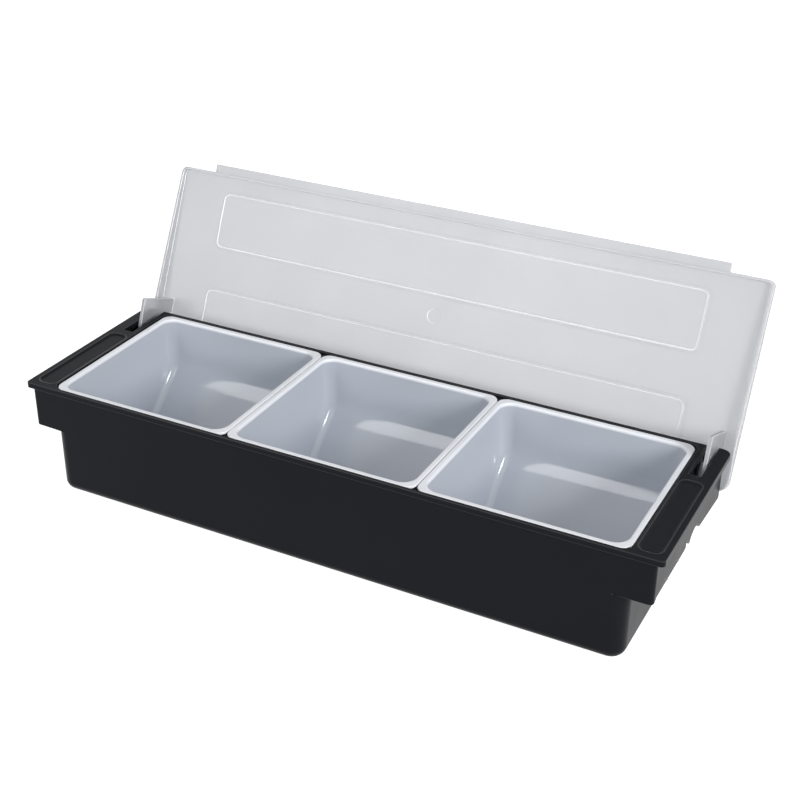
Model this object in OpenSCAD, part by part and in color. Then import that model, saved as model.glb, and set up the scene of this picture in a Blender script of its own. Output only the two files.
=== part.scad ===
// Countertop condiment caddy: a tub with handle wings, three lift-out inserts and one hinged lid.
// Millimetres. Origin in the middle of the tub's underside, X along the length, Y to the hinge, Z up.

/* [Inserts] */
// Outside length of an insert's flange, along the caddy
insert_l = 148.8; // [120:0.2:180]
// Outside width of an insert's flange, front to back
insert_w = 143.6; // [120:0.2:170]
// Space for ice water between the inserts and the tub's floor
ice_gap = 6; // [5:0.5:20]
// Wall of an insert
insert_wall = 2.2; // [1.6:0.1:3]
// Slope of an insert's walls
insert_draft = 3; // [1:0.5:4]
// Level part of an insert's floor, front to back
floor_w = 53; // [40:1:80]
// Angle that the sloping parts of an insert's floor rise at
floor_rise = 40; // [30:1:60]
// Radius of a flange's corners
flange_r = 8; // [4:0.5:14]
// Thickness of a flange
flange_t = 2; // [1.5:0.1:3]
// How far a flange stands out from its insert's wall
flange_over = 2.2; // [1.8:0.1:3]
// Radius of an insert's upright corners at the top
insert_corner_r = 12.5; // [12.5:0.5:20]
// Radius between an insert's walls and its floor, outside
insert_floor_r = 8; // [4:0.5:8]
// Gap between neighbouring flanges
insert_gap = 0.5; // [0.3:0.1:1]

/* [Tub] */
// Height of the tub
tub_h = 88; // [80:1:110]
// Wall and floor of the tub
wall = 3.2; // [2.5:0.1:4]
// Slope of the tub's walls
draft = 0; // [0:0.5:1]
// Radius of the tub's upright corners
corner_r = 11; // [10:0.5:16]
// Radius of the tub's bottom edges
bottom_r = 8; // [4:0.5:8]
// Top face of the rim in front of the inserts and behind them
rim_land = 2.8; // [2:0.1:6]
// Thickness of the rim
rim_t = 4.5; // [3.5:0.1:6]
// How far the rim stands out in front and behind
bead = 1; // [0.5:0.1:2]
// Radius of the rim's front corners
rim_front_r = 3; // [1:0.5:6]
// Radius of the rim's back corners
rim_back_r = 7; // [3:0.5:9]
// How far the flanges lie below the rim
flange_sink = 0.4; // [0:0.1:1]
// Clearance between the flanges and the rim, front and back
flange_clear = 0.4; // [0.3:0.1:0.8]
// Clearance between the flanges and the rim at the ends
end_clear = 1.2; // [0.3:0.1:2]

/* [Wings] */
// Length of the rim beyond the inserts at each end
wing_l = 22.6; // [20:0.1:40]
// How far the rim stands out over the skirt
wing_over = 4.8; // [3:0.1:6]
// Ledge that the end of a flange rests on
end_ledge = 2; // [1.2:0.1:3]
// Thickness of the skirt
skirt_t = 2.5; // [2:0.1:3]
// Depth of the skirt's front below the rim's top
skirt_front_h = 35.3; // [30:0.1:40]
// Depth of the skirt below the rim's top at the back
skirt_back_h = 38; // [36:0.1:42]
// Depth of the grip, the scalloped part of the skirt, below the rim's top
grip_h = 34; // [32:0.1:36]
// Radius of the skirt's front corners
skirt_r = 3; // [2.6:0.2:6]
// Number of finger scallops in a side
scallop_n = 4; // [3:1:4]
// Spacing of the scallops
scallop_pitch = 23.4; // [20:0.1:24]
// Depth of a scallop
scallop_d = 6; // [2:0.5:8]
// Flat tip left between scallops
scallop_tip = 0.8; // [0.5:0.1:2]
// Where the scallops start, forward of the rim's back edge
scallop_start = 50; // [48:0.5:52]
// Depth of the dish in a wing's top
dish_d = 1.3; // [0.5:0.1:1.8]
// Border of the dish along the outer edge
dish_border = 4.5; // [3:0.1:6]
// Raised lip between the dish and the opening
dish_lip = 1.6; // [1.2:0.1:2.4]
// Slope of the dish's sides
dish_slope = 60; // [0:5:65]
// Radius between the dish's sides and its floor
dish_edge_r = 1; // [0.2:0.1:1.2]
// Distance of the dish from the rim's front edge
dish_front = 6.5; // [6:0.5:40]
// Distance of the dish from the slot
dish_back = 7.5; // [4:0.5:20]
// Radius of the dish's corners
dish_r = 6; // [4:0.5:6]

/* [Lid] */
// Thickness of the lid
lid_t = 2; // [1.5:0.1:2.5]
// Angle that the lid opens through
open_angle = 117.7; // [105:0.1:118]
// Fall of the lid's top from back to front
lid_fall = 2.7; // [1.5:0.1:3]
// Inside height of the lid at its front edge
lid_front_h = 3.5; // [3:0.1:6]
// How far the lid reaches past the rim in front
lid_front_over = 1.1; // [0.5:0.1:4]
// How far the lid reaches past the rim behind
lid_back_over = 0.7; // [0.3:0.1:2]
// How far the lid stays short of the rim at each end
lid_end_under = 0.4; // [0:0.1:1]
// Radius of the lid's front corners
lid_front_r = 5; // [3:0.5:8]
// Radius of the lid's back corners
lid_back_r = 8; // [4:0.5:8]
// Length of the finger lip
lip_l = 430; // [100:5:440]
// Reach of the finger lip
lip_w = 6.3; // [4:0.1:12]
// Length of the embossed fields
emboss_l = 411; // [200:1:440]
// Width of an embossed field, front to back
emboss_w = 47.8; // [30:0.1:50]
// Height of the embossed fields
emboss_h = 0.6; // [0.3:0.1:1]
// Radius of the fields' corners
emboss_r = 7; // [3:0.5:10]
// Distance of the front field from the lid's front edge
emboss_front = 13.6; // [10:0.1:20]
// Spacing of the two fields
emboss_pitch = 79.3; // [60:0.1:80]
// Diameter of the shallow round mark in the lid's middle
mark_d = 11.2; // [6:0.1:20]
// Depth of the round mark
mark_depth = 0.3; // [0.1:0.05:0.6]

/* [Hinge] */
// Distance of the hinge pins from the rim's back edge
hinge_in = 12.4; // [12:0.1:14]
// Depth of the hinge pins below the rim's top
hinge_down = 13.4; // [13:0.1:16]
// Diameter of a hinge pin
pin_d = 6; // [4:0.1:7]
// Running clearance of a pin in its hole, on the radius
pin_clear = 0.05; // [0.02:0.01:0.1]
// Diameter of the boss that carries a pin
boss_d = 11; // [9:0.5:12]
// Thickness of an ear
ear_t = 2.7; // [2:0.1:3]
// Reach of an ear forward of the hinge
ear_front = 27; // [24:0.1:28]
// Reach of an ear below the hinge
ear_down = 16.2; // [12:0.1:18]
// Reach of an ear behind the hinge
ear_back = 9.5; // [9:0.1:10]
// Slant of an ear
ear_tilt = 6; // [0:0.5:8]
// Radius of an ear's corners
ear_r = 2; // [1:0.5:4]
// Gap between an ear and the outer side of its slot
ear_gap = 1.1; // [0.6:0.1:2]
// Clearance in front of the ears where they swing through the rim
slot_clear = 0.6; // [0.5:0.1:3]
// Width of the rim's strip between the opening and a slot
strip_w = 4.3; // [4:0.1:6]
// Width of the slot that an ear swings in
slot_w = 8.5; // [8:0.1:9]
// Length of a pin in its hole
pin_grip = 3; // [2:0.1:3.5]
// Sideways gap between a boss and the pad that it turns against
side_gap = 0.5; // [0.3:0.1:1]
// Gap between a resting piece and what carries it
seat_gap = 0.3; // [0.2:0.05:0.5]

/* [Hidden] */
$fn = 64;
through = 1;

insert_pitch = insert_l + insert_gap;
opening_l = 2 * insert_pitch + insert_l + 2 * end_clear;
opening_w = insert_w + 2 * flange_clear;
opening_r = flange_r + flange_clear;
rim_l = opening_l + 2 * wing_l;
rim_w = opening_w + 2 * rim_land;
rim_base = tub_h - rim_t;
tub_w = rim_w - 2 * bead;
tub_l = opening_l - 2 * end_ledge + 2 * wall;
seat_z = tub_h - flange_sink - flange_t - seat_gap;
insert_h = tub_h - flange_sink - wall - ice_gap;

skirt_l = rim_l - 2 * wing_over;
skirt_base = tub_h - skirt_back_h;
front_base = tub_h - skirt_front_h;
grip_base = tub_h - grip_h;
scallop_chord = scallop_pitch - scallop_tip;
scallop_radius = (scallop_chord * scallop_chord / 4 + scallop_d * scallop_d) / (2 * scallop_d);

hinge_y = rim_w / 2 - hinge_in;
hinge_z = tub_h - hinge_down;
slot_inner = opening_l / 2 + strip_w;
slot_outer = slot_inner + slot_w;
ear_reach = norm([ear_front, ear_down]);
slot_y = hinge_y - sqrt(ear_reach * ear_reach - pow(hinge_down - rim_t, 2)) - slot_clear;
ear_outer = slot_outer - ear_gap;
ear_inner = ear_outer - ear_t;
boss_end = slot_inner + side_gap;
pin_end = slot_inner - pin_grip;
// The rim's back corners, and the room that the lid leaves round them as it swings
corner_swing = norm([hinge_in, hinge_down]) + seat_gap;

lid_l = rim_l - 2 * lid_end_under;
lid_y0 = -rim_w / 2 - lid_front_over;
lid_y1 = rim_w / 2 + lid_back_over;
lid_w = (lid_y1 - lid_y0) / cos(lid_fall);
lid_z0 = tub_h + seat_gap + lid_front_h;
lid_rise = lid_w * sin(lid_fall);
// Open, the lip along the lid's back edge leans on the tub's back wall, and its depth follows from that
back_edge_y = lid_y1 - hinge_y;
back_edge_z = lid_z0 + lid_rise - hinge_z;
open_edge_y = hinge_y + back_edge_y * cos(open_angle) + back_edge_z * sin(open_angle);
open_edge_z = hinge_z - back_edge_y * sin(open_angle) + back_edge_z * cos(open_angle);
back_wall_y = tub_w / 2 - (tub_h - open_edge_z) * tan(draft);
stop_d = (open_edge_y - back_wall_y - seat_gap) / sin(open_angle - lid_fall);

// A rectangle with round corners
module round_rect(l, w, r) {
    square([l - 2 * r, w], center = true);
    square([l, w - 2 * r], center = true);
    for (x = [r - l / 2, l / 2 - r], y = [r - w / 2, w / 2 - r])
        translate([x, y]) circle(r);
}

// A rectangle whose front corners are rounder or sharper than the back ones
module two_radius_rect(l, w, r_front, r_back) {
    intersection() {
        round_rect(l, w, r_front);
        translate([-l, -w]) square([2 * l, w]);
    }
    intersection() {
        round_rect(l, w, r_back);
        translate([-l, 0]) square([2 * l, w]);
    }
}

// Half section of a block with sloping sides, x measured from the centre of its corner arc
module block_section(r, h, edge_r, slope) {
    edge_x = r - h * tan(slope) + edge_r * tan(slope) - edge_r / cos(slope);
    polygon([
        [0, 0],
        [edge_x, 0],
        [edge_x + edge_r * cos(slope), edge_r - edge_r * sin(slope)],
        [r, h],
        [0, h]
    ]);
    if (edge_r > 0) intersection() {
        translate([edge_x, edge_r]) circle(edge_r);
        square([r, edge_r]);
    }
}

// A block that narrows downwards, with round upright corners and a round bottom edge
module drafted_block(l, w, h, r, edge_r, slope) {
    run_x = l / 2 - r;
    run_y = w / 2 - r;
    translate([-run_x, -run_y, 0]) cube([2 * run_x, 2 * run_y, h]);
    for (turn = [0, 180]) rotate(turn) {
        translate([run_x, run_y, 0]) rotate([90, 0, 0])
            linear_extrude(2 * run_y) block_section(r, h, edge_r, slope);
        translate([-run_x, run_y, 0]) rotate([90, 0, 90])
            linear_extrude(2 * run_x) block_section(r, h, edge_r, slope);
        translate([run_x, run_y, 0])
            rotate_extrude(angle = 90) block_section(r, h, edge_r, slope);
        translate([-run_x, run_y, 0]) rotate(90)
            rotate_extrude(angle = 90) block_section(r, h, edge_r, slope);
    }
}

// The same thing at both ends of the caddy
module both_ends() {
    children();
    mirror([1, 0, 0]) children();
}

// A side view, y and z, drawn out along X
module side_view(x, t) {
    translate([x, 0, 0]) rotate([90, 0, 90]) linear_extrude(t) children();
}

// Hollow of the tub, open at the top
module tub_hollow() {
    grow = 2 * through * tan(draft);
    translate([0, 0, wall]) drafted_block(
        tub_l - 2 * wall + grow, tub_w - 2 * wall + grow, tub_h - wall + through,
        corner_r - wall + grow / 2, bottom_r - wall, draft
    );
}

// Skirts of both wings, open below and towards the tub
module wing_skirts() {
    grow = 2 * through * tan(draft);
    middle_l = tub_l - 2 * corner_r;
    difference() {
        translate([0, 0, skirt_base])
            drafted_block(skirt_l, tub_w, skirt_back_h, skirt_r, 0, draft);
        translate([0, 0, skirt_base - through]) drafted_block(
            skirt_l - 2 * skirt_t + grow, tub_w - 2 * skirt_t + grow, skirt_back_h + 2 * through,
            skirt_r - skirt_t + grow / 2, 0, draft
        );
        translate([-middle_l / 2, -tub_w, skirt_base - through])
            cube([middle_l, 2 * tub_w, skirt_back_h + 2 * through]);
        both_ends() side_view(middle_l / 2, (rim_l - middle_l) / 2) wing_undercut();
    }
}

// Side view of what is cut away below a wing: the scallops of the grip, and the raised front
module wing_undercut() {
    grip_y = rim_w / 2 - scallop_start;
    front_y = grip_y - scallop_n * scallop_pitch;
    edge_y = tub_w / 2 + through;
    for (i = [0.5 : scallop_n - 0.5])
        translate([grip_y - i * scallop_pitch, grip_base + scallop_d - scallop_radius])
            circle(scallop_radius);
    polygon([
        [edge_y, skirt_base - through],
        [edge_y, skirt_base],
        [grip_y, grip_base],
        [front_y, grip_base],
        [skirt_r - tub_w / 2, front_base],
        [-edge_y, front_base],
        [-edge_y, skirt_base - through]
    ]);
}

// Pad on the tub's end wall, beside a slot, with the strip of rim above it
module hinge_pad() {
    pad_x = tub_l / 2 - wall / 2;
    pad_r = boss_d / 2;
    side_view(pad_x, slot_inner - pad_x) {
        translate([hinge_y, hinge_z]) circle(pad_r);
        translate([hinge_y - pad_r, hinge_z])
            square([2 * pad_r, rim_base + rim_t / 2 - hinge_z]);
    }
}

// Slot through a wing, open at the back, in which an ear of the lid swings
module hinge_slot() {
    translate([slot_inner, slot_y, rim_base - through])
        cube([slot_w, rim_w, rim_t + 2 * through]);
    translate([slot_inner, tub_w / 2 - skirt_t - through, skirt_base - through])
        cube([slot_w, rim_w, skirt_back_h]);
}

// Shallow dish in a wing's top, in front of the slot
module wing_dish() {
    x0 = opening_l / 2 + dish_lip;
    x1 = rim_l / 2 - dish_border;
    y0 = -rim_w / 2 + dish_front;
    y1 = slot_y - dish_back;
    grow = 2 * through * tan(dish_slope);
    translate([(x0 + x1) / 2, (y0 + y1) / 2, tub_h - dish_d]) drafted_block(
        x1 - x0 + grow, y1 - y0 + grow, dish_d + through,
        dish_r + grow / 2, dish_edge_r, dish_slope
    );
}

module base_tub() {
    color("#26282b") difference() {
        union() {
            drafted_block(tub_l, tub_w, tub_h, corner_r, bottom_r, draft);
            wing_skirts();
            translate([0, 0, rim_base])
                linear_extrude(rim_t) two_radius_rect(rim_l, rim_w, rim_front_r, rim_back_r);
            both_ends() hinge_pad();
        }
        tub_hollow();
        translate([0, 0, seat_z])
            linear_extrude(tub_h) round_rect(opening_l, opening_w, opening_r);
        both_ends() {
            hinge_slot();
            wing_dish();
            translate([pin_end - side_gap, hinge_y, hinge_z]) rotate([0, 90, 0])
                cylinder(h = pin_grip + side_gap + through, r = pin_d / 2 + pin_clear);
        }
    }
}

// A trough with a level floor and sides that slope up to the front and to the back
module trough(level_w) {
    rise_w = level_w / 2 + insert_h / tan(floor_rise);
    side_view(-insert_l, 2 * insert_l) polygon([
        [-level_w / 2, 0],
        [level_w / 2, 0],
        [rise_w, insert_h],
        [-rise_w, insert_h]
    ]);
}

// An insert by itself, its flange's top at z = 0
module insert() {
    body_l = insert_l - 2 * flange_over;
    body_w = insert_w - 2 * flange_over;
    grow = 2 * through * tan(insert_draft);
    color("#eef0f4") difference() {
        union() {
            translate([0, 0, -flange_t]) linear_extrude(flange_t)
                round_rect(insert_l, insert_w, flange_r);
            translate([0, 0, -insert_h]) intersection() {
                drafted_block(
                    body_l, body_w, insert_h, insert_corner_r, insert_floor_r, insert_draft
                );
                trough(floor_w + 2 * insert_wall * tan(floor_rise / 2));
            }
        }
        translate([0, 0, insert_wall - insert_h]) intersection() {
            drafted_block(
                body_l - 2 * insert_wall + grow, body_w - 2 * insert_wall + grow,
                insert_h - insert_wall + through, insert_corner_r - insert_wall + grow / 2,
                insert_floor_r - insert_wall, insert_draft
            );
            trough(floor_w);
        }
    }
}

module place_insert(position) {
    translate([position * insert_pitch, 0, tub_h - flange_sink]) insert();
}

// Puts a shape drawn on the lid's top onto the shut lid: y from the front edge, z = 0 inside
module on_lid() {
    translate([0, lid_y0, lid_z0]) rotate([lid_fall, 0, 0]) children();
}

// The lid's top and side walls, cut level where they meet the rim
module lid_shell() {
    inside_l = lid_l - 2 * lid_t;
    inside_w = lid_w - 2 * lid_t;
    depth = lid_front_h + lid_rise;
    difference() {
        on_lid() translate([0, lid_w / 2, -depth]) linear_extrude(depth + lid_t)
            two_radius_rect(lid_l, lid_w, lid_front_r, lid_back_r);
        on_lid() translate([0, lid_w / 2, -2 * depth]) linear_extrude(2 * depth)
            two_radius_rect(inside_l, inside_w, lid_front_r - lid_t, lid_back_r - lid_t);
        translate([-lid_l, -2 * rim_w, 0]) cube([2 * lid_l, 4 * rim_w, tub_h + seat_gap]);
        on_lid() translate([-skirt_l / 2 - through, lid_w - lid_back_r, -2 * depth])
            cube([skirt_l + 2 * through, 2 * lid_back_r, 2 * depth - stop_d]);
        both_ends() translate([skirt_l / 2, hinge_y, hinge_z]) rotate([0, 90, 0])
            cylinder(h = wing_over, r = corner_swing);
    }
}

// One embossed field, raised outside and hollow inside
module emboss_field(grow, h) {
    linear_extrude(h) round_rect(emboss_l + 2 * grow, emboss_w + 2 * grow, emboss_r + grow);
}

module finger_lip() {
    translate([-lip_l / 2, lid_y0 - lip_w, tub_h + seat_gap])
        cube([lip_l, lip_w + lid_t / 2, lid_t]);
}

// An ear with the boss and the pin that turns in its pad
module lid_ear() {
    intersection() {
        side_view(ear_inner, ear_t) translate([hinge_y, hinge_z]) rotate(ear_tilt)
            translate([(ear_back - ear_front) / 2, lid_w / 2 - ear_down])
            round_rect(ear_front + ear_back, lid_w, ear_r);
        on_lid() translate([-lid_l, -lid_w, -lid_w])
            cube([2 * lid_l, 3 * lid_w, lid_w + lid_t / 2]);
    }
    translate([0, hinge_y, hinge_z]) rotate([0, 90, 0]) {
        translate([0, 0, boss_end]) cylinder(h = ear_inner + ear_t / 2 - boss_end, d = boss_d);
        translate([0, 0, pin_end]) cylinder(h = ear_inner + ear_t / 2 - pin_end, d = pin_d);
    }
}

module shut_lid() {
    difference() {
        union() {
            lid_shell();
            for (i = [0, 1]) on_lid()
                translate([0, emboss_front + emboss_w / 2 + i * emboss_pitch, lid_t / 2])
                emboss_field(0, lid_t / 2 + emboss_h);
        }
        for (i = [0, 1]) on_lid()
            translate([0, emboss_front + emboss_w / 2 + i * emboss_pitch, -through])
            emboss_field(-lid_t, emboss_h + through);
        on_lid() translate([0, lid_w / 2, -through])
            cylinder(h = mark_depth + through, d = mark_d);
    }
    finger_lip();
    both_ends() lid_ear();
}

// The lid stands open, as far as its stop
module lid() {
    color("#d5d9de", 0.7) translate([0, hinge_y, hinge_z]) rotate([-open_angle, 0, 0])
        translate([0, -hinge_y, -hinge_z]) shut_lid();
}

base_tub();
place_insert(-1);  // insert_left
place_insert(0);  // insert_centre
place_insert(1);  // insert_right
lid();
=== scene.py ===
"""Condiment caddy with a flip lid: its moulded pieces, their finishes and the stage."""

import math
from collections import namedtuple

import bmesh
import bpy
from bpy.props import FloatProperty, FloatVectorProperty, IntProperty, PointerProperty
from mathutils import Matrix, Vector


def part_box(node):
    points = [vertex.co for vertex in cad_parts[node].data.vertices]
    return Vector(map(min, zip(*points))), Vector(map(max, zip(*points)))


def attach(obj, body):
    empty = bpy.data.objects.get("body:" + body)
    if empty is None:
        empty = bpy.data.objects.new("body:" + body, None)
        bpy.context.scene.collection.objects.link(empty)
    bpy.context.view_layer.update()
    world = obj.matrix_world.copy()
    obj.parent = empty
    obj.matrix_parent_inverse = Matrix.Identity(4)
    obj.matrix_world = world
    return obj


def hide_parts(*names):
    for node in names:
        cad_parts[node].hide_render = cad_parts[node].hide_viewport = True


bl_info = {
    "name": "Condiment Caddy",
    "version": (1, 0, 0),
    "blender": (4, 5, 0),
    "location": "3D View > Sidebar > Caddy",
    "description": "Models a countertop condiment caddy with lift-out inserts and a flip lid",
    "category": "Add Mesh",
}

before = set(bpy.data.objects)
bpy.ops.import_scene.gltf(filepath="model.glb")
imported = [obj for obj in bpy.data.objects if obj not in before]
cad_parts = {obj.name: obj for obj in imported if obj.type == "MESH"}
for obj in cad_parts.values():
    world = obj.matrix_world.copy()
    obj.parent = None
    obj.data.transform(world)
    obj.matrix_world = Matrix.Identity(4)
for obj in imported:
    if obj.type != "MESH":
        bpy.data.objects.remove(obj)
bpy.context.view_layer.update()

MM = 0.001
INSERTS = {
    "insert_left": "left_insert",
    "insert_centre": "centre_insert",
    "insert_right": "right_insert",
}
# Faces that meet at a smaller angle are one flat or evenly curved face of the moulding
FLAT_ANGLE = math.radians(0.4)
# Edges that turn by more are rounded, and are shaded as edges
EDGE_ANGLE = math.radians(25)
# Least and largest area of an embossed field on the lid's inner side, in square metres
FIELD_AREA = (0.015, 0.02)
# Depths below the rim, in flange thicknesses, where the painted light on an insert's flange starts and
# is full
FLANGE_LIGHT_FADE = (1.5, 0.75)
# Values that most of a noise lies between
NOISE_RANGE = (0.3, 0.7)
# Sizes of the noises in a plastic, in turns per metre: its tone, its gloss and its faint wave
TONE_SCALE = 9
GLOSS_SCALE = 28
WAVE_SCALE = 14
# How far the gloss varies, as a share of the roughness
GLOSS_SPREAD = 0.1
# Half the floor's width, and how far it lies below the tub, in metres
FLOOR_HALF = 6
FLOOR_DROP = 0.2 * MM
# Each lamp's width, its place and the point that it is aimed at, in metres
LAMPS = {
    "key": (0.9, (2.0, -0.9, 1.0), (0, 0, 0.05)),
    "fill": (1.0, (-0.6, -1.17, 0.72), (0, 0, 0.04)),
    "top": (1.2, (-0.3, 0.1, 1.7), (0, 0, 0.05)),
}

# A rectangle with round corners, level at height z
Ring = namedtuple("Ring", "half_x half_y radius z")


class CaddyInsertSizes(bpy.types.PropertyGroup):
    """Sizes of a lift-out insert"""

    wall: FloatProperty(
        name="Wall", description="Thickness of the walls and the floor",
        default=2.2 * MM, min=1 * MM, max=4 * MM, unit="LENGTH",
    )
    flange: FloatProperty(
        name="Flange", description="Thickness of the flange",
        default=2 * MM, min=1 * MM, max=4 * MM, unit="LENGTH",
    )
    flange_over: FloatProperty(
        name="Flange overhang", description="How far the flange stands out from the wall",
        default=2.2 * MM, min=1 * MM, max=4 * MM, unit="LENGTH",
    )
    flange_radius: FloatProperty(
        name="Flange corners", description="Radius of the flange's corners",
        default=8 * MM, min=4 * MM, max=14 * MM, unit="LENGTH",
    )
    corner_radius: FloatProperty(
        name="Corners", description="Radius of the upright corners at the top, outside",
        default=12.5 * MM, min=8 * MM, max=20 * MM, unit="LENGTH",
    )
    foot_corner: FloatProperty(
        name="Foot corners", description="Radius of the corners beside the sloping floor",
        default=6 * MM, min=3 * MM, max=10 * MM, unit="LENGTH",
    )
    floor_radius: FloatProperty(
        name="Floor edge", description="Radius between the end walls and the floor, inside",
        default=6 * MM, min=3 * MM, max=10 * MM, unit="LENGTH",
    )
    floor_width: FloatProperty(
        name="Level floor", description="Width of the level part of the floor, front to back",
        default=53 * MM, min=40 * MM, max=80 * MM, unit="LENGTH",
    )
    floor_rise: FloatProperty(
        name="Floor slope", description="Angle of the sloping parts of the floor",
        default=math.radians(40), min=math.radians(30), max=math.radians(60), subtype="ANGLE",
    )
    floor_bend: FloatProperty(
        name="Floor bend", description="Radius between the level and the sloping floor",
        default=14 * MM, min=4 * MM, max=30 * MM, unit="LENGTH",
    )
    shoulder: FloatProperty(
        name="Shoulder", description="Softness of the bend between the sloping floor and the wall",
        default=13.5 * MM, min=2 * MM, max=20 * MM, unit="LENGTH",
    )
    draft: FloatProperty(
        name="Draft", description="Slope of the walls",
        default=math.radians(3), min=0, max=math.radians(6), subtype="ANGLE",
    )
    edge: FloatProperty(
        name="Edge", description="Radius of the flange's outer edges",
        default=0.8 * MM, min=0.2 * MM, max=1 * MM, unit="LENGTH",
    )
    mouth: FloatProperty(
        name="Mouth", description="Radius of the flange's inner edge",
        default=1.4 * MM, min=0.4 * MM, max=2 * MM, unit="LENGTH",
    )


class CaddyEdges(bpy.types.PropertyGroup):
    """Rounding of the moulded edges of the tub and the lid"""

    tub: FloatProperty(
        name="Tub edges", description="Width of the rounding on the tub's edges",
        default=0.5 * MM, min=0.1 * MM, max=1 * MM, unit="LENGTH",
    )
    lid: FloatProperty(
        name="Lid edges", description="Width of the rounding on the lid's edges",
        default=0.35 * MM, min=0.1 * MM, max=0.8 * MM, unit="LENGTH",
    )
    segments: IntProperty(
        name="Segments", description="Segments across a rounded edge",
        default=3, min=1, max=6,
    )
    groove: FloatProperty(
        name="Field groove", description="Width of the groove round a field on the lid's inner side",
        default=0.6 * MM, min=0.3 * MM, max=3 * MM, unit="LENGTH",
    )
    groove_depth: FloatProperty(
        name="Groove depth", description="Depth of the groove round a field",
        default=0.4 * MM, min=0.1 * MM, max=0.6 * MM, unit="LENGTH",
    )


class CaddyFinishes(bpy.types.PropertyGroup):
    """Colours and gloss of the three plastics and of their edges"""

    tub_colour: FloatVectorProperty(
        name="Tub", description="Colour of the black plastic", subtype="COLOR",
        size=3, default=(0.0095, 0.0101, 0.0127), min=0, max=1,
    )
    tub_roughness: FloatProperty(
        name="Tub roughness", description="Roughness of the black plastic",
        default=0.32, min=0, max=1, subtype="FACTOR",
    )
    tub_reflection: FloatProperty(
        name="Tub reflection", description="Strength of the black plastic's reflections, usually 0.5",
        default=0.06, min=0, max=1, subtype="FACTOR",
    )
    tub_tint: FloatVectorProperty(
        name="Tub reflection tint", description="Tint of the black plastic's reflections",
        subtype="COLOR", size=3, default=(0.9, 0.92, 1), min=0, max=1,
    )
    tub_edge_roughness: FloatProperty(
        name="Tub edge roughness", description="Roughness of the tub's rounded edges",
        default=0.3, min=0, max=1, subtype="FACTOR",
    )
    tub_edge_reflection: FloatProperty(
        name="Tub edge reflection", description="Strength of the reflections on the tub's edges",
        default=0.35, min=0, max=1, subtype="FACTOR",
    )
    insert_colour: FloatVectorProperty(
        name="Inserts", description="Colour of the white plastic", subtype="COLOR",
        size=3, default=(0.52, 0.555, 0.615), min=0, max=1,
    )
    # Painted light: the flange colour is lighter than the body colour, to stand in for the light on the
    # thin flange
    flange_painted_light_colour: FloatVectorProperty(
        name="Flanges", description="Colour of the inserts' thin flanges, where light passes through",
        subtype="COLOR", size=3, default=(0.9, 0.92, 0.97), min=0, max=1,
    )
    insert_roughness: FloatProperty(
        name="Insert roughness", description="Roughness of the white plastic",
        default=0.1, min=0, max=1, subtype="FACTOR",
    )
    insert_reflection: FloatProperty(
        name="Insert reflection", description="Strength of the white plastic's reflections, usually 0.5",
        default=0.8, min=0, max=1, subtype="FACTOR",
    )
    lid_colour: FloatVectorProperty(
        name="Lid", description="Colour of the frosted plastic", subtype="COLOR",
        size=3, default=(0.63, 0.637, 0.663), min=0, max=1,
    )
    # Painted highlight: the lid's rounded edges and groove beds get this much lighter colour in place of
    # the light that their ridges catch
    lid_edge_highlight_colour: FloatVectorProperty(
        name="Lid edges", description="Colour of the lid's polished edges",
        subtype="COLOR", size=3, default=(0.92, 0.93, 0.96), min=0, max=1,
    )
    lid_roughness: FloatProperty(
        name="Lid roughness", description="Roughness of the frosted plastic",
        default=0.34, min=0, max=1, subtype="FACTOR",
    )
    lid_clearness: FloatProperty(
        name="Lid clearness", description="Share of the light that passes into the frosted plastic",
        default=0.6, min=0, max=1, subtype="FACTOR",
    )
    lid_reflection: FloatProperty(
        name="Lid reflection", description="Strength of the frosted plastic's reflections, usually 0.5",
        default=1, min=0, max=1, subtype="FACTOR",
    )
    lid_bending: FloatProperty(
        name="Lid light bending", description="Refractive index of the frosted plastic",
        default=1.49, min=1, max=2,
    )
    lid_edge_roughness: FloatProperty(
        name="Lid edge roughness", description="Roughness of the lid's polished edges",
        default=0.2, min=0, max=1, subtype="FACTOR",
    )
    lid_edge_clearness: FloatProperty(
        name="Lid edge clearness", description="Share of the light that passes into the lid's edges",
        default=0.2, min=0, max=1, subtype="FACTOR",
    )


class CaddyStage(bpy.types.PropertyGroup):
    """Camera, lamps and floor"""

    camera_place: FloatVectorProperty(
        name="Camera", description="Place of the camera", subtype="TRANSLATION",
        size=3, default=(0.42336, -0.77616, 0.58510),
    )
    azimuth: FloatProperty(
        name="Azimuth", description="Turn of the camera about the upright axis",
        default=math.radians(27.01), subtype="ANGLE",
    )
    elevation: FloatProperty(
        name="Elevation", description="Angle that the camera looks down",
        default=math.radians(28.73), subtype="ANGLE",
    )
    roll: FloatProperty(
        name="Roll", description="Tilt of the camera about its own axis",
        default=math.radians(0.56), subtype="ANGLE",
    )
    lens: FloatProperty(
        name="Lens", description="Focal length", default=63.59, min=20, max=200, unit="CAMERA",
    )
    sky: FloatProperty(
        name="Sky", description="Strength of the even light from all sides",
        default=0.2, min=0, max=2,
    )
    key_watts: FloatProperty(
        name="Key", description="Power of the large soft lamp at the front right",
        default=42.0, min=0, max=100, unit="POWER",
    )
    fill_watts: FloatProperty(
        name="Fill", description="Power of the large soft lamp at the front left",
        default=8.0, min=0, max=100, unit="POWER",
    )
    top_watts: FloatProperty(
        name="Top", description="Power of the large soft lamp overhead",
        default=3.0, min=0, max=100, unit="POWER",
    )
    floor_shade: FloatProperty(
        name="Floor shade", description="How pale the floor is under the lamps",
        default=0.7, min=0, max=1, subtype="FACTOR",
    )
    floor_roughness: FloatProperty(
        name="Floor roughness", description="Roughness of the floor",
        default=0.9, min=0, max=1, subtype="FACTOR",
    )
    floor_lift: FloatProperty(
        name="Floor lift", description="How much whiter the floor is seen than it is lit",
        default=0.86, min=0, max=1, subtype="FACTOR",
    )


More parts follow.
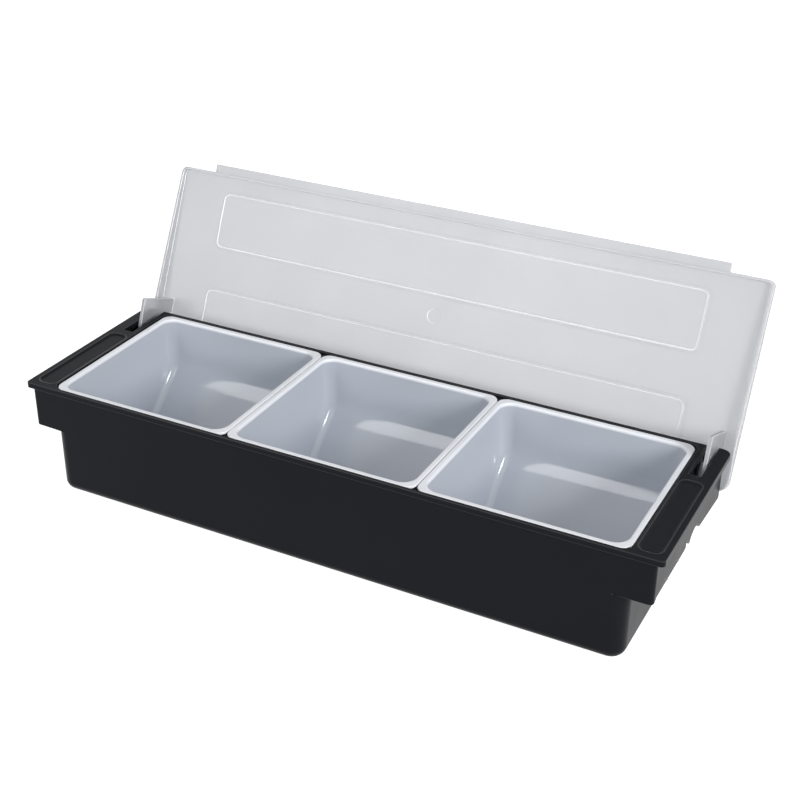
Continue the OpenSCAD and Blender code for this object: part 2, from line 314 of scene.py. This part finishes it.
class CaddySettings(bpy.types.PropertyGroup):
    """All the settings of the caddy"""

    insert: PointerProperty(type=CaddyInsertSizes)
    edges: PointerProperty(type=CaddyEdges)
    finishes: PointerProperty(type=CaddyFinishes)
    stage: PointerProperty(type=CaddyStage)


def add_piece(name, bm, materials, body, node):
    """Makes a bmesh a shaded piece that rides on a body in place of its CAD node."""
    mesh = bpy.data.meshes.new(name)
    bm.to_mesh(mesh)
    bm.free()
    mesh.shade_smooth()
    mesh.set_sharp_from_angle(angle=EDGE_ANGLE)
    for material in materials:
        mesh.materials.append(material)
    piece = bpy.data.objects.new(name, mesh)
    bpy.context.scene.collection.objects.link(piece)
    even = piece.modifiers.new("even_shading", "WEIGHTED_NORMAL")
    even.keep_sharp = True
    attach(piece, body)
    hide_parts(node)


def softened_copy(node, width, segments):
    """A merged copy of a CAD node's mesh with its hard edges rounded.

    The faces of the rounding take the piece's second material.
    """
    bm = bmesh.new()
    bm.from_mesh(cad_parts[node].data)
    bmesh.ops.remove_doubles(bm, verts=bm.verts, dist=0.001 * MM)
    bmesh.ops.dissolve_limit(bm, angle_limit=FLAT_ANGLE, verts=bm.verts, edges=bm.edges)
    hard = [edge for edge in bm.edges if edge.calc_face_angle(0) > EDGE_ANGLE]
    rounding = bmesh.ops.bevel(
        bm, geom=hard, offset=width, offset_type="OFFSET", segments=segments, profile=0.5,
        affect="EDGES", clamp_overlap=False, material=-1, miter_outer="ARC",
    )
    for face in rounding["faces"]:
        face.material_index = 1
    return bm


def round_rect(bm, ring, centre, segments=12):
    """A rectangular face with round corners, made from a plane."""
    place = Matrix.Translation((centre.x, centre.y, ring.z))
    size = Matrix.Diagonal((2 * ring.half_x, 2 * ring.half_y, 1, 1))
    plane = bmesh.ops.create_grid(bm, x_segments=1, y_segments=1, size=0.5, matrix=place @ size)
    rounded = bmesh.ops.bevel(
        bm, geom=plane["verts"], offset=ring.radius, offset_type="OFFSET", segments=segments,
        profile=0.5, affect="VERTICES", clamp_overlap=False, material=-1,
    )
    return rounded["verts"][0].link_faces[0]


def corner_centre(ring):
    """The centre of a ring's round corner, from the ring's own centre."""
    return Vector((ring.half_x - ring.radius, ring.half_y - ring.radius))


def resize_ring(face, centre, old, new):
    """Gives a rectangular face with round corners a new size, corner radius and height."""
    for vert in face.verts:
        side = Vector((math.copysign(1, vert.co.x - centre.x), math.copysign(1, vert.co.y - centre.y)))
        spoke = (vert.co.xy - centre.xy - corner_centre(old) * side) / old.radius
        vert.co.xy = centre.xy + corner_centre(new) * side + spoke * new.radius
        vert.co.z = new.z


def extrude_rings(bm, rings, centre):
    """A closed shell, extruded from its first rectangle through all the others."""
    cap = round_rect(bm, rings[0], centre)
    inner = []
    for old, new in zip(rings, rings[1:]):
        grown = bmesh.ops.extrude_face_region(bm, geom=[cap])["geom"]
        cap = next(item for item in grown if isinstance(item, bmesh.types.BMFace))
        resize_ring(cap, centre, old, new)
        inner.append(cap)
    bmesh.ops.delete(bm, geom=inner[:-1], context="FACES_ONLY")
    bmesh.ops.recalc_face_normals(bm, faces=bm.faces)


def wall_ring(rise, foot, top, floor_radius, level, sizes):
    """The ring of an insert's wall at a height above its floor.

    foot is the floor's height, top the wall's ring at the top of the flange, and level the width
    of the level part of the floor.
    """
    height = top.z - foot
    fall = (height - rise) * math.tan(sizes.draft)
    half_x = top.half_x - fall
    wall_y = top.half_y - fall
    bend = sizes.floor_bend
    if rise < bend * (1 - math.cos(sizes.floor_rise)):
        floor_y = math.sqrt(bend ** 2 - (bend - rise) ** 2) - bend * math.tan(sizes.floor_rise / 2)
    else:
        floor_y = rise / math.tan(sizes.floor_rise)
    floor_y += level / 2
    near = max(sizes.shoulder - abs(wall_y - floor_y), 0)
    half_y = min(wall_y, floor_y) - near ** 2 / (4 * sizes.shoulder)
    tuck = floor_radius - math.sqrt(floor_radius ** 2 - max(floor_radius - rise, 0) ** 2)
    share = min((wall_y - half_y) / sizes.corner_radius, 1)
    radius = (top.radius - fall) * (1 - share) + sizes.foot_corner * share
    least_radius = 0.2 * sizes.foot_corner
    return Ring(half_x - tuck, half_y, max(radius - tuck, least_radius), foot + rise)


def wall_rings(foot, top, floor_radius, level, sizes, bend_steps=10, wall_steps=24):
    """Rings of an insert's wall, from its floor through the bends to the straight wall."""
    shoulder_top = (top.half_y - level / 2) * math.tan(sizes.floor_rise) + 2 * sizes.shoulder
    rises = [
        floor_radius * (1 - math.cos(math.pi / 2 * i / bend_steps)) for i in range(bend_steps)
    ]
    rises += [
        floor_radius + (shoulder_top - floor_radius) * i / wall_steps for i in range(wall_steps + 1)
    ]
    return [wall_ring(rise, foot, top, floor_radius, level, sizes) for rise in rises]


def edge_rings(middle, radius, start, end, steps):
    """Rings round an edge of the flange, from one angle to another about the ring middle."""
    rings = []
    for i in range(steps + 1):
        angle = math.radians(start + (end - start) * i / steps)
        out = radius * math.cos(angle)
        up = radius * math.sin(angle)
        rings.append(Ring(middle.half_x + out, middle.half_y + out, middle.radius + out, middle.z + up))
    return rings


def insert_rings(low, high, sizes):
    """Rings of an insert, from its underside over the flange to its floor."""
    half_x = (high.x - low.x) / 2
    half_y = (high.y - low.y) / 2
    over = sizes.flange_over
    inner = over + sizes.wall
    body = Ring(half_x - over, half_y - over, sizes.corner_radius, high.z)
    cavity = Ring(half_x - inner, half_y - inner, sizes.corner_radius - sizes.wall, high.z)
    outer_level = sizes.floor_width + 2 * sizes.wall * math.tan(sizes.floor_rise / 2)
    section = wall_rings(low.z, body, sizes.floor_radius + sizes.wall, outer_level, sizes)
    inside = wall_rings(low.z + sizes.wall, cavity, sizes.floor_radius, sizes.floor_width, sizes)

    root = sizes.flange * math.tan(sizes.draft)
    bottom = high.z - sizes.flange
    section.append(Ring(body.half_x - root, body.half_y - root, body.radius - root, bottom))

    edge = sizes.edge
    rim = Ring(half_x - edge, half_y - edge, sizes.flange_radius - edge, bottom + edge)
    section += edge_rings(rim, edge, -90, 0, 4)
    section += edge_rings(rim._replace(z=high.z - edge), edge, 0, 90, 5)

    mouth = sizes.mouth
    lip = Ring(
        cavity.half_x + mouth, cavity.half_y + mouth, cavity.radius + mouth, high.z - mouth,
    )
    section += edge_rings(lip, mouth, 90, 180, 6)
    section += reversed(inside)
    return section


def noise(nodes, links, vector, scale, detail):
    """A noise texture in object space."""
    texture = nodes.new("ShaderNodeTexNoise")
    texture.inputs["Scale"].default_value = scale
    texture.inputs["Detail"].default_value = detail
    links.new(vector, texture.inputs["Vector"])
    return texture.outputs["Fac"]


def between(nodes, links, value, low, high):
    """Maps a noise from its middle range to low and high."""
    spread = nodes.new("ShaderNodeMapRange")
    spread.inputs["From Min"].default_value = NOISE_RANGE[0]
    spread.inputs["From Max"].default_value = NOISE_RANGE[1]
    spread.inputs["To Min"].default_value = low
    spread.inputs["To Max"].default_value = high
    links.new(value, spread.inputs["Value"])
    return spread.outputs["Result"]


def moulded_plastic(name, colour, roughness, shade, grain_scale, grain_height, wave_height):
    """Moulded plastic: slight tone changes, uneven gloss, a fine grain and a faint wave.

    shade is how far the tone varies, grain_scale the grain's turns per metre, and the two heights
    are in metres. Returns the material and its shader.
    """
    material = bpy.data.materials.new(name)
    material.use_nodes = True
    nodes = material.node_tree.nodes
    links = material.node_tree.links
    shader = nodes["Principled BSDF"]
    place = nodes.new("ShaderNodeTexCoord").outputs["Object"]

    mix = nodes.new("ShaderNodeMix")
    mix.data_type = "RGBA"
    mix.inputs["A"].default_value = (*[c * (1 - shade) for c in colour], 1)
    mix.inputs["B"].default_value = (*[min(c * (1 + shade), 1) for c in colour], 1)
    tone = noise(nodes, links, place, TONE_SCALE, 4)
    links.new(between(nodes, links, tone, 0, 1), mix.inputs["Factor"])
    links.new(mix.outputs["Result"], shader.inputs["Base Color"])

    gloss = noise(nodes, links, place, GLOSS_SCALE, 5)
    least = roughness * (1 - GLOSS_SPREAD)
    most = roughness * (1 + GLOSS_SPREAD)
    links.new(between(nodes, links, gloss, least, most), shader.inputs["Roughness"])

    wave = nodes.new("ShaderNodeBump")
    wave.inputs["Strength"].default_value = 1
    wave.inputs["Distance"].default_value = wave_height
    links.new(noise(nodes, links, place, WAVE_SCALE, 1), wave.inputs["Height"])
    grain = nodes.new("ShaderNodeBump")
    grain.inputs["Strength"].default_value = 1
    grain.inputs["Distance"].default_value = grain_height
    links.new(noise(nodes, links, place, grain_scale, 2), grain.inputs["Height"])
    links.new(wave.outputs["Normal"], grain.inputs["Normal"])
    links.new(grain.outputs["Normal"], shader.inputs["Normal"])
    return material, shader


def paint_flange_light(material, shader, colour, start, end):
    """Paints light on a thin flange: blends a plastic's colour to a lighter one between two heights."""
    nodes = material.node_tree.nodes
    links = material.node_tree.links
    place = nodes.new("ShaderNodeSeparateXYZ")
    links.new(nodes["Texture Coordinate"].outputs["Object"], place.inputs["Vector"])
    rise = nodes.new("ShaderNodeMapRange")
    rise.interpolation_type = "SMOOTHSTEP"
    rise.inputs["From Min"].default_value = start
    rise.inputs["From Max"].default_value = end
    links.new(place.outputs["Z"], rise.inputs["Value"])
    mix = nodes.new("ShaderNodeMix")
    mix.data_type = "RGBA"
    mix.inputs["B"].default_value = (*colour, 1)
    links.new(rise.outputs["Result"], mix.inputs["Factor"])
    links.new(shader.inputs["Base Color"].links[0].from_socket, mix.inputs["A"])
    links.new(mix.outputs["Result"], shader.inputs["Base Color"])


class CADDY_OT_tub(bpy.types.Operator):
    """Models the black tub with its wings"""

    bl_idname = "caddy.tub"
    bl_label = "Tub"

    def execute(self, context):
        settings = context.scene.caddy
        look = settings.finishes
        material, shader = moulded_plastic(
            "black_plastic", look.tub_colour, look.tub_roughness,
            shade=0.08, grain_scale=1900, grain_height=0.02 * MM, wave_height=0.12 * MM,
        )
        shader.inputs["Specular IOR Level"].default_value = look.tub_reflection
        shader.inputs["Specular Tint"].default_value = (*look.tub_tint, 1)
        edge_material, edge_shader = moulded_plastic(
            "black_plastic_edge", look.tub_colour, look.tub_edge_roughness,
            shade=0.08, grain_scale=1900, grain_height=0.01 * MM, wave_height=0.12 * MM,
        )
        edge_shader.inputs["Specular IOR Level"].default_value = look.tub_edge_reflection
        bm = softened_copy("base_tub", settings.edges.tub, settings.edges.segments)
        add_piece("tub_moulding", bm, (material, edge_material), "tub", "base_tub")
        return {"FINISHED"}


class CADDY_OT_inserts(bpy.types.Operator):
    """Models the white lift-out inserts"""

    bl_idname = "caddy.inserts"
    bl_label = "Inserts"

    def execute(self, context):
        settings = context.scene.caddy
        look = settings.finishes
        material, shader = moulded_plastic(
            "white_plastic", look.insert_colour, look.insert_roughness,
            shade=0.02, grain_scale=900, grain_height=0.004 * MM, wave_height=0.5 * MM,
        )
        shader.inputs["Specular IOR Level"].default_value = look.insert_reflection
        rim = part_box("insert_centre")[1].z
        # Painted light: the inserts' colour lightens to the flange colour towards the rim
        start, end = [rim - depth * settings.insert.flange for depth in FLANGE_LIGHT_FADE]
        paint_flange_light(material, shader, look.flange_painted_light_colour, start, end)
        for node, body in INSERTS.items():
            low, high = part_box(node)
            bm = bmesh.new()
            extrude_rings(bm, insert_rings(low, high, settings.insert), (low + high) / 2)
            add_piece(f"{node}_moulding", bm, (material,), body, node)
        return {"FINISHED"}


def groove_fields(bm, edges):
    """Raises the middle of each field on the lid's inner side, which leaves a groove round it; the
    groove's bed takes the lid's painted highlight material.
    """
    least, most = FIELD_AREA
    fields = [
        face for face in bm.faces if face.normal.y < 0 and least < face.calc_area() < most
    ]
    bed = bmesh.ops.inset_individual(
        bm, faces=fields, thickness=edges.groove, depth=0, use_even_offset=True,
    )
    for face in bed["faces"]:
        face.material_index = 1
    bmesh.ops.inset_individual(
        bm, faces=fields, thickness=edges.groove / 2, depth=edges.groove_depth, use_even_offset=True,
    )


class CADDY_OT_lid(bpy.types.Operator):
    """Models the frosted lid"""

    bl_idname = "caddy.lid"
    bl_label = "Lid"

    def execute(self, context):
        settings = context.scene.caddy
        look = settings.finishes
        material, shader = moulded_plastic(
            "frosted_plastic", look.lid_colour, look.lid_roughness,
            shade=0.02, grain_scale=2400, grain_height=0.02 * MM, wave_height=0.1 * MM,
        )
        shader.inputs["Transmission Weight"].default_value = look.lid_clearness
        shader.inputs["Specular IOR Level"].default_value = look.lid_reflection
        shader.inputs["IOR"].default_value = look.lid_bending
        # Painted highlight: the lid's rounded edges and groove beds take this lighter colour
        edge_material, edge_shader = moulded_plastic(
            "frosted_plastic_edge", look.lid_edge_highlight_colour, look.lid_edge_roughness,
            shade=0.01, grain_scale=2400, grain_height=0.01 * MM, wave_height=0.1 * MM,
        )
        edge_shader.inputs["Transmission Weight"].default_value = look.lid_edge_clearness
        edge_shader.inputs["Specular IOR Level"].default_value = look.lid_reflection
        bm = softened_copy("lid", settings.edges.lid, settings.edges.segments)
        groove_fields(bm, settings.edges)
        add_piece("lid_moulding", bm, (material, edge_material), "flip_lid", "lid")
        return {"FINISHED"}


def seen_white(nodes, links):
    """One for rays from the camera, a mirror or clear plastic, nought for light on surfaces."""
    path = nodes.new("ShaderNodeLightPath")
    total = path.outputs["Is Camera Ray"]
    for ray in ("Is Glossy Ray", "Is Transmission Ray"):
        larger = nodes.new("ShaderNodeMath")
        larger.operation = "MAXIMUM"
        links.new(total, larger.inputs[0])
        links.new(path.outputs[ray], larger.inputs[1])
        total = larger.outputs["Value"]
    return total


def even_world(sky):
    """A world that lights evenly from all sides and is seen as white."""
    world = bpy.data.worlds.new("studio")
    world.use_nodes = True
    nodes = world.node_tree.nodes
    links = world.node_tree.links
    light = nodes["Background"]
    light.inputs["Color"].default_value = (1, 1, 1, 1)
    strength = nodes.new("ShaderNodeMapRange")
    strength.inputs["To Min"].default_value = sky
    strength.inputs["To Max"].default_value = 1
    links.new(seen_white(nodes, links), strength.inputs["Value"])
    links.new(strength.outputs["Result"], light.inputs["Strength"])
    bpy.context.scene.world = world


def white_floor(shade, roughness, seen_lift):
    """A pale floor that carries the shadow and runs into the white background."""
    bm = bmesh.new()
    bmesh.ops.create_grid(
        bm, x_segments=1, y_segments=1, size=FLOOR_HALF,
        matrix=Matrix.Translation((0, 0, -FLOOR_DROP)),
    )
    mesh = bpy.data.meshes.new("floor")
    bm.to_mesh(mesh)
    bm.free()
    floor = bpy.data.objects.new("floor", mesh)
    bpy.context.scene.collection.objects.link(floor)
    material = bpy.data.materials.new("pale_floor")
    material.use_nodes = True
    nodes = material.node_tree.nodes
    links = material.node_tree.links
    shader = nodes["Principled BSDF"]
    shader.inputs["Base Color"].default_value = (shade, shade, shade, 1)
    shader.inputs["Roughness"].default_value = roughness
    shader.inputs["Specular IOR Level"].default_value = 0
    shader.inputs["Emission Color"].default_value = (1, 1, 1, 1)
    lift = nodes.new("ShaderNodeMath")
    lift.operation = "MULTIPLY"
    lift.inputs[1].default_value = seen_lift
    links.new(seen_white(nodes, links), lift.inputs[0])
    links.new(lift.outputs["Value"], shader.inputs["Emission Strength"])
    mesh.materials.append(material)


def soft_lamp(name, watts, size, place, target):
    """A large square lamp aimed at a point."""
    lamp = bpy.data.lights.new(name, "AREA")
    lamp.shape = "SQUARE"
    lamp.size = size
    lamp.energy = watts
    holder = bpy.data.objects.new(name, lamp)
    bpy.context.scene.collection.objects.link(holder)
    aim = (Vector(target) - Vector(place)).to_track_quat("-Z", "Y").to_matrix().to_4x4()
    holder.matrix_world = Matrix.Translation(place) @ aim


class CADDY_OT_stage(bpy.types.Operator):
    """Sets up the floor, the lamps and the camera"""

    bl_idname = "caddy.stage"
    bl_label = "Stage"

    def execute(self, context):
        stage = context.scene.caddy.stage
        even_world(stage.sky)
        white_floor(stage.floor_shade, stage.floor_roughness, stage.floor_lift)
        for name, (size, place, target) in LAMPS.items():
            soft_lamp(name, getattr(stage, f"{name}_watts"), size, place, target)

        data = bpy.data.cameras.new("camera")
        data.sensor_width = 36
        data.lens = stage.lens
        camera = bpy.data.objects.new("camera", data)
        context.scene.collection.objects.link(camera)
        camera.matrix_world = (
            Matrix.Translation(stage.camera_place)
            @ Matrix.Rotation(stage.azimuth, 4, "Z")
            @ Matrix.Rotation(math.pi / 2 - stage.elevation, 4, "X")
            @ Matrix.Rotation(stage.roll, 4, "Z")
        )
        context.scene.camera = camera
        context.scene.view_settings.view_transform = "Standard"
        return {"FINISHED"}


class CADDY_PT_panel(bpy.types.Panel):
    """Lists the caddy's pieces and their sizes"""

    bl_idname = "CADDY_PT_panel"
    bl_label = "Condiment Caddy"
    bl_space_type = "VIEW_3D"
    bl_region_type = "UI"
    bl_category = "Caddy"

    def draw(self, context):
        settings = context.scene.caddy
        for operator in STEPS:
            self.layout.operator(operator.bl_idname)
        for name in ("insert", "edges", "finishes", "stage"):
            group = getattr(settings, name)
            box = self.layout.box()
            box.label(text=name.capitalize())
            for key in group.__annotations__:
                box.prop(group, key)


STEPS = (CADDY_OT_tub, CADDY_OT_inserts, CADDY_OT_lid, CADDY_OT_stage)
CLASSES = (
    CaddyInsertSizes, CaddyEdges, CaddyFinishes, CaddyStage, CaddySettings, *STEPS, CADDY_PT_panel,
)


def register():
    """Adds the caddy's classes and settings to Blender."""
    for item in CLASSES:
        bpy.utils.register_class(item)
    bpy.types.Scene.caddy = PointerProperty(type=CaddySettings)


def unregister():
    """Takes the caddy's settings and classes out again."""
    del bpy.types.Scene.caddy
    for item in reversed(CLASSES):
        bpy.utils.unregister_class(item)


def main():
    register()
    bpy.ops.caddy.tub()
    bpy.ops.caddy.inserts()
    bpy.ops.caddy.lid()
    bpy.ops.caddy.stage()


if __name__ == "__main__":
    main()
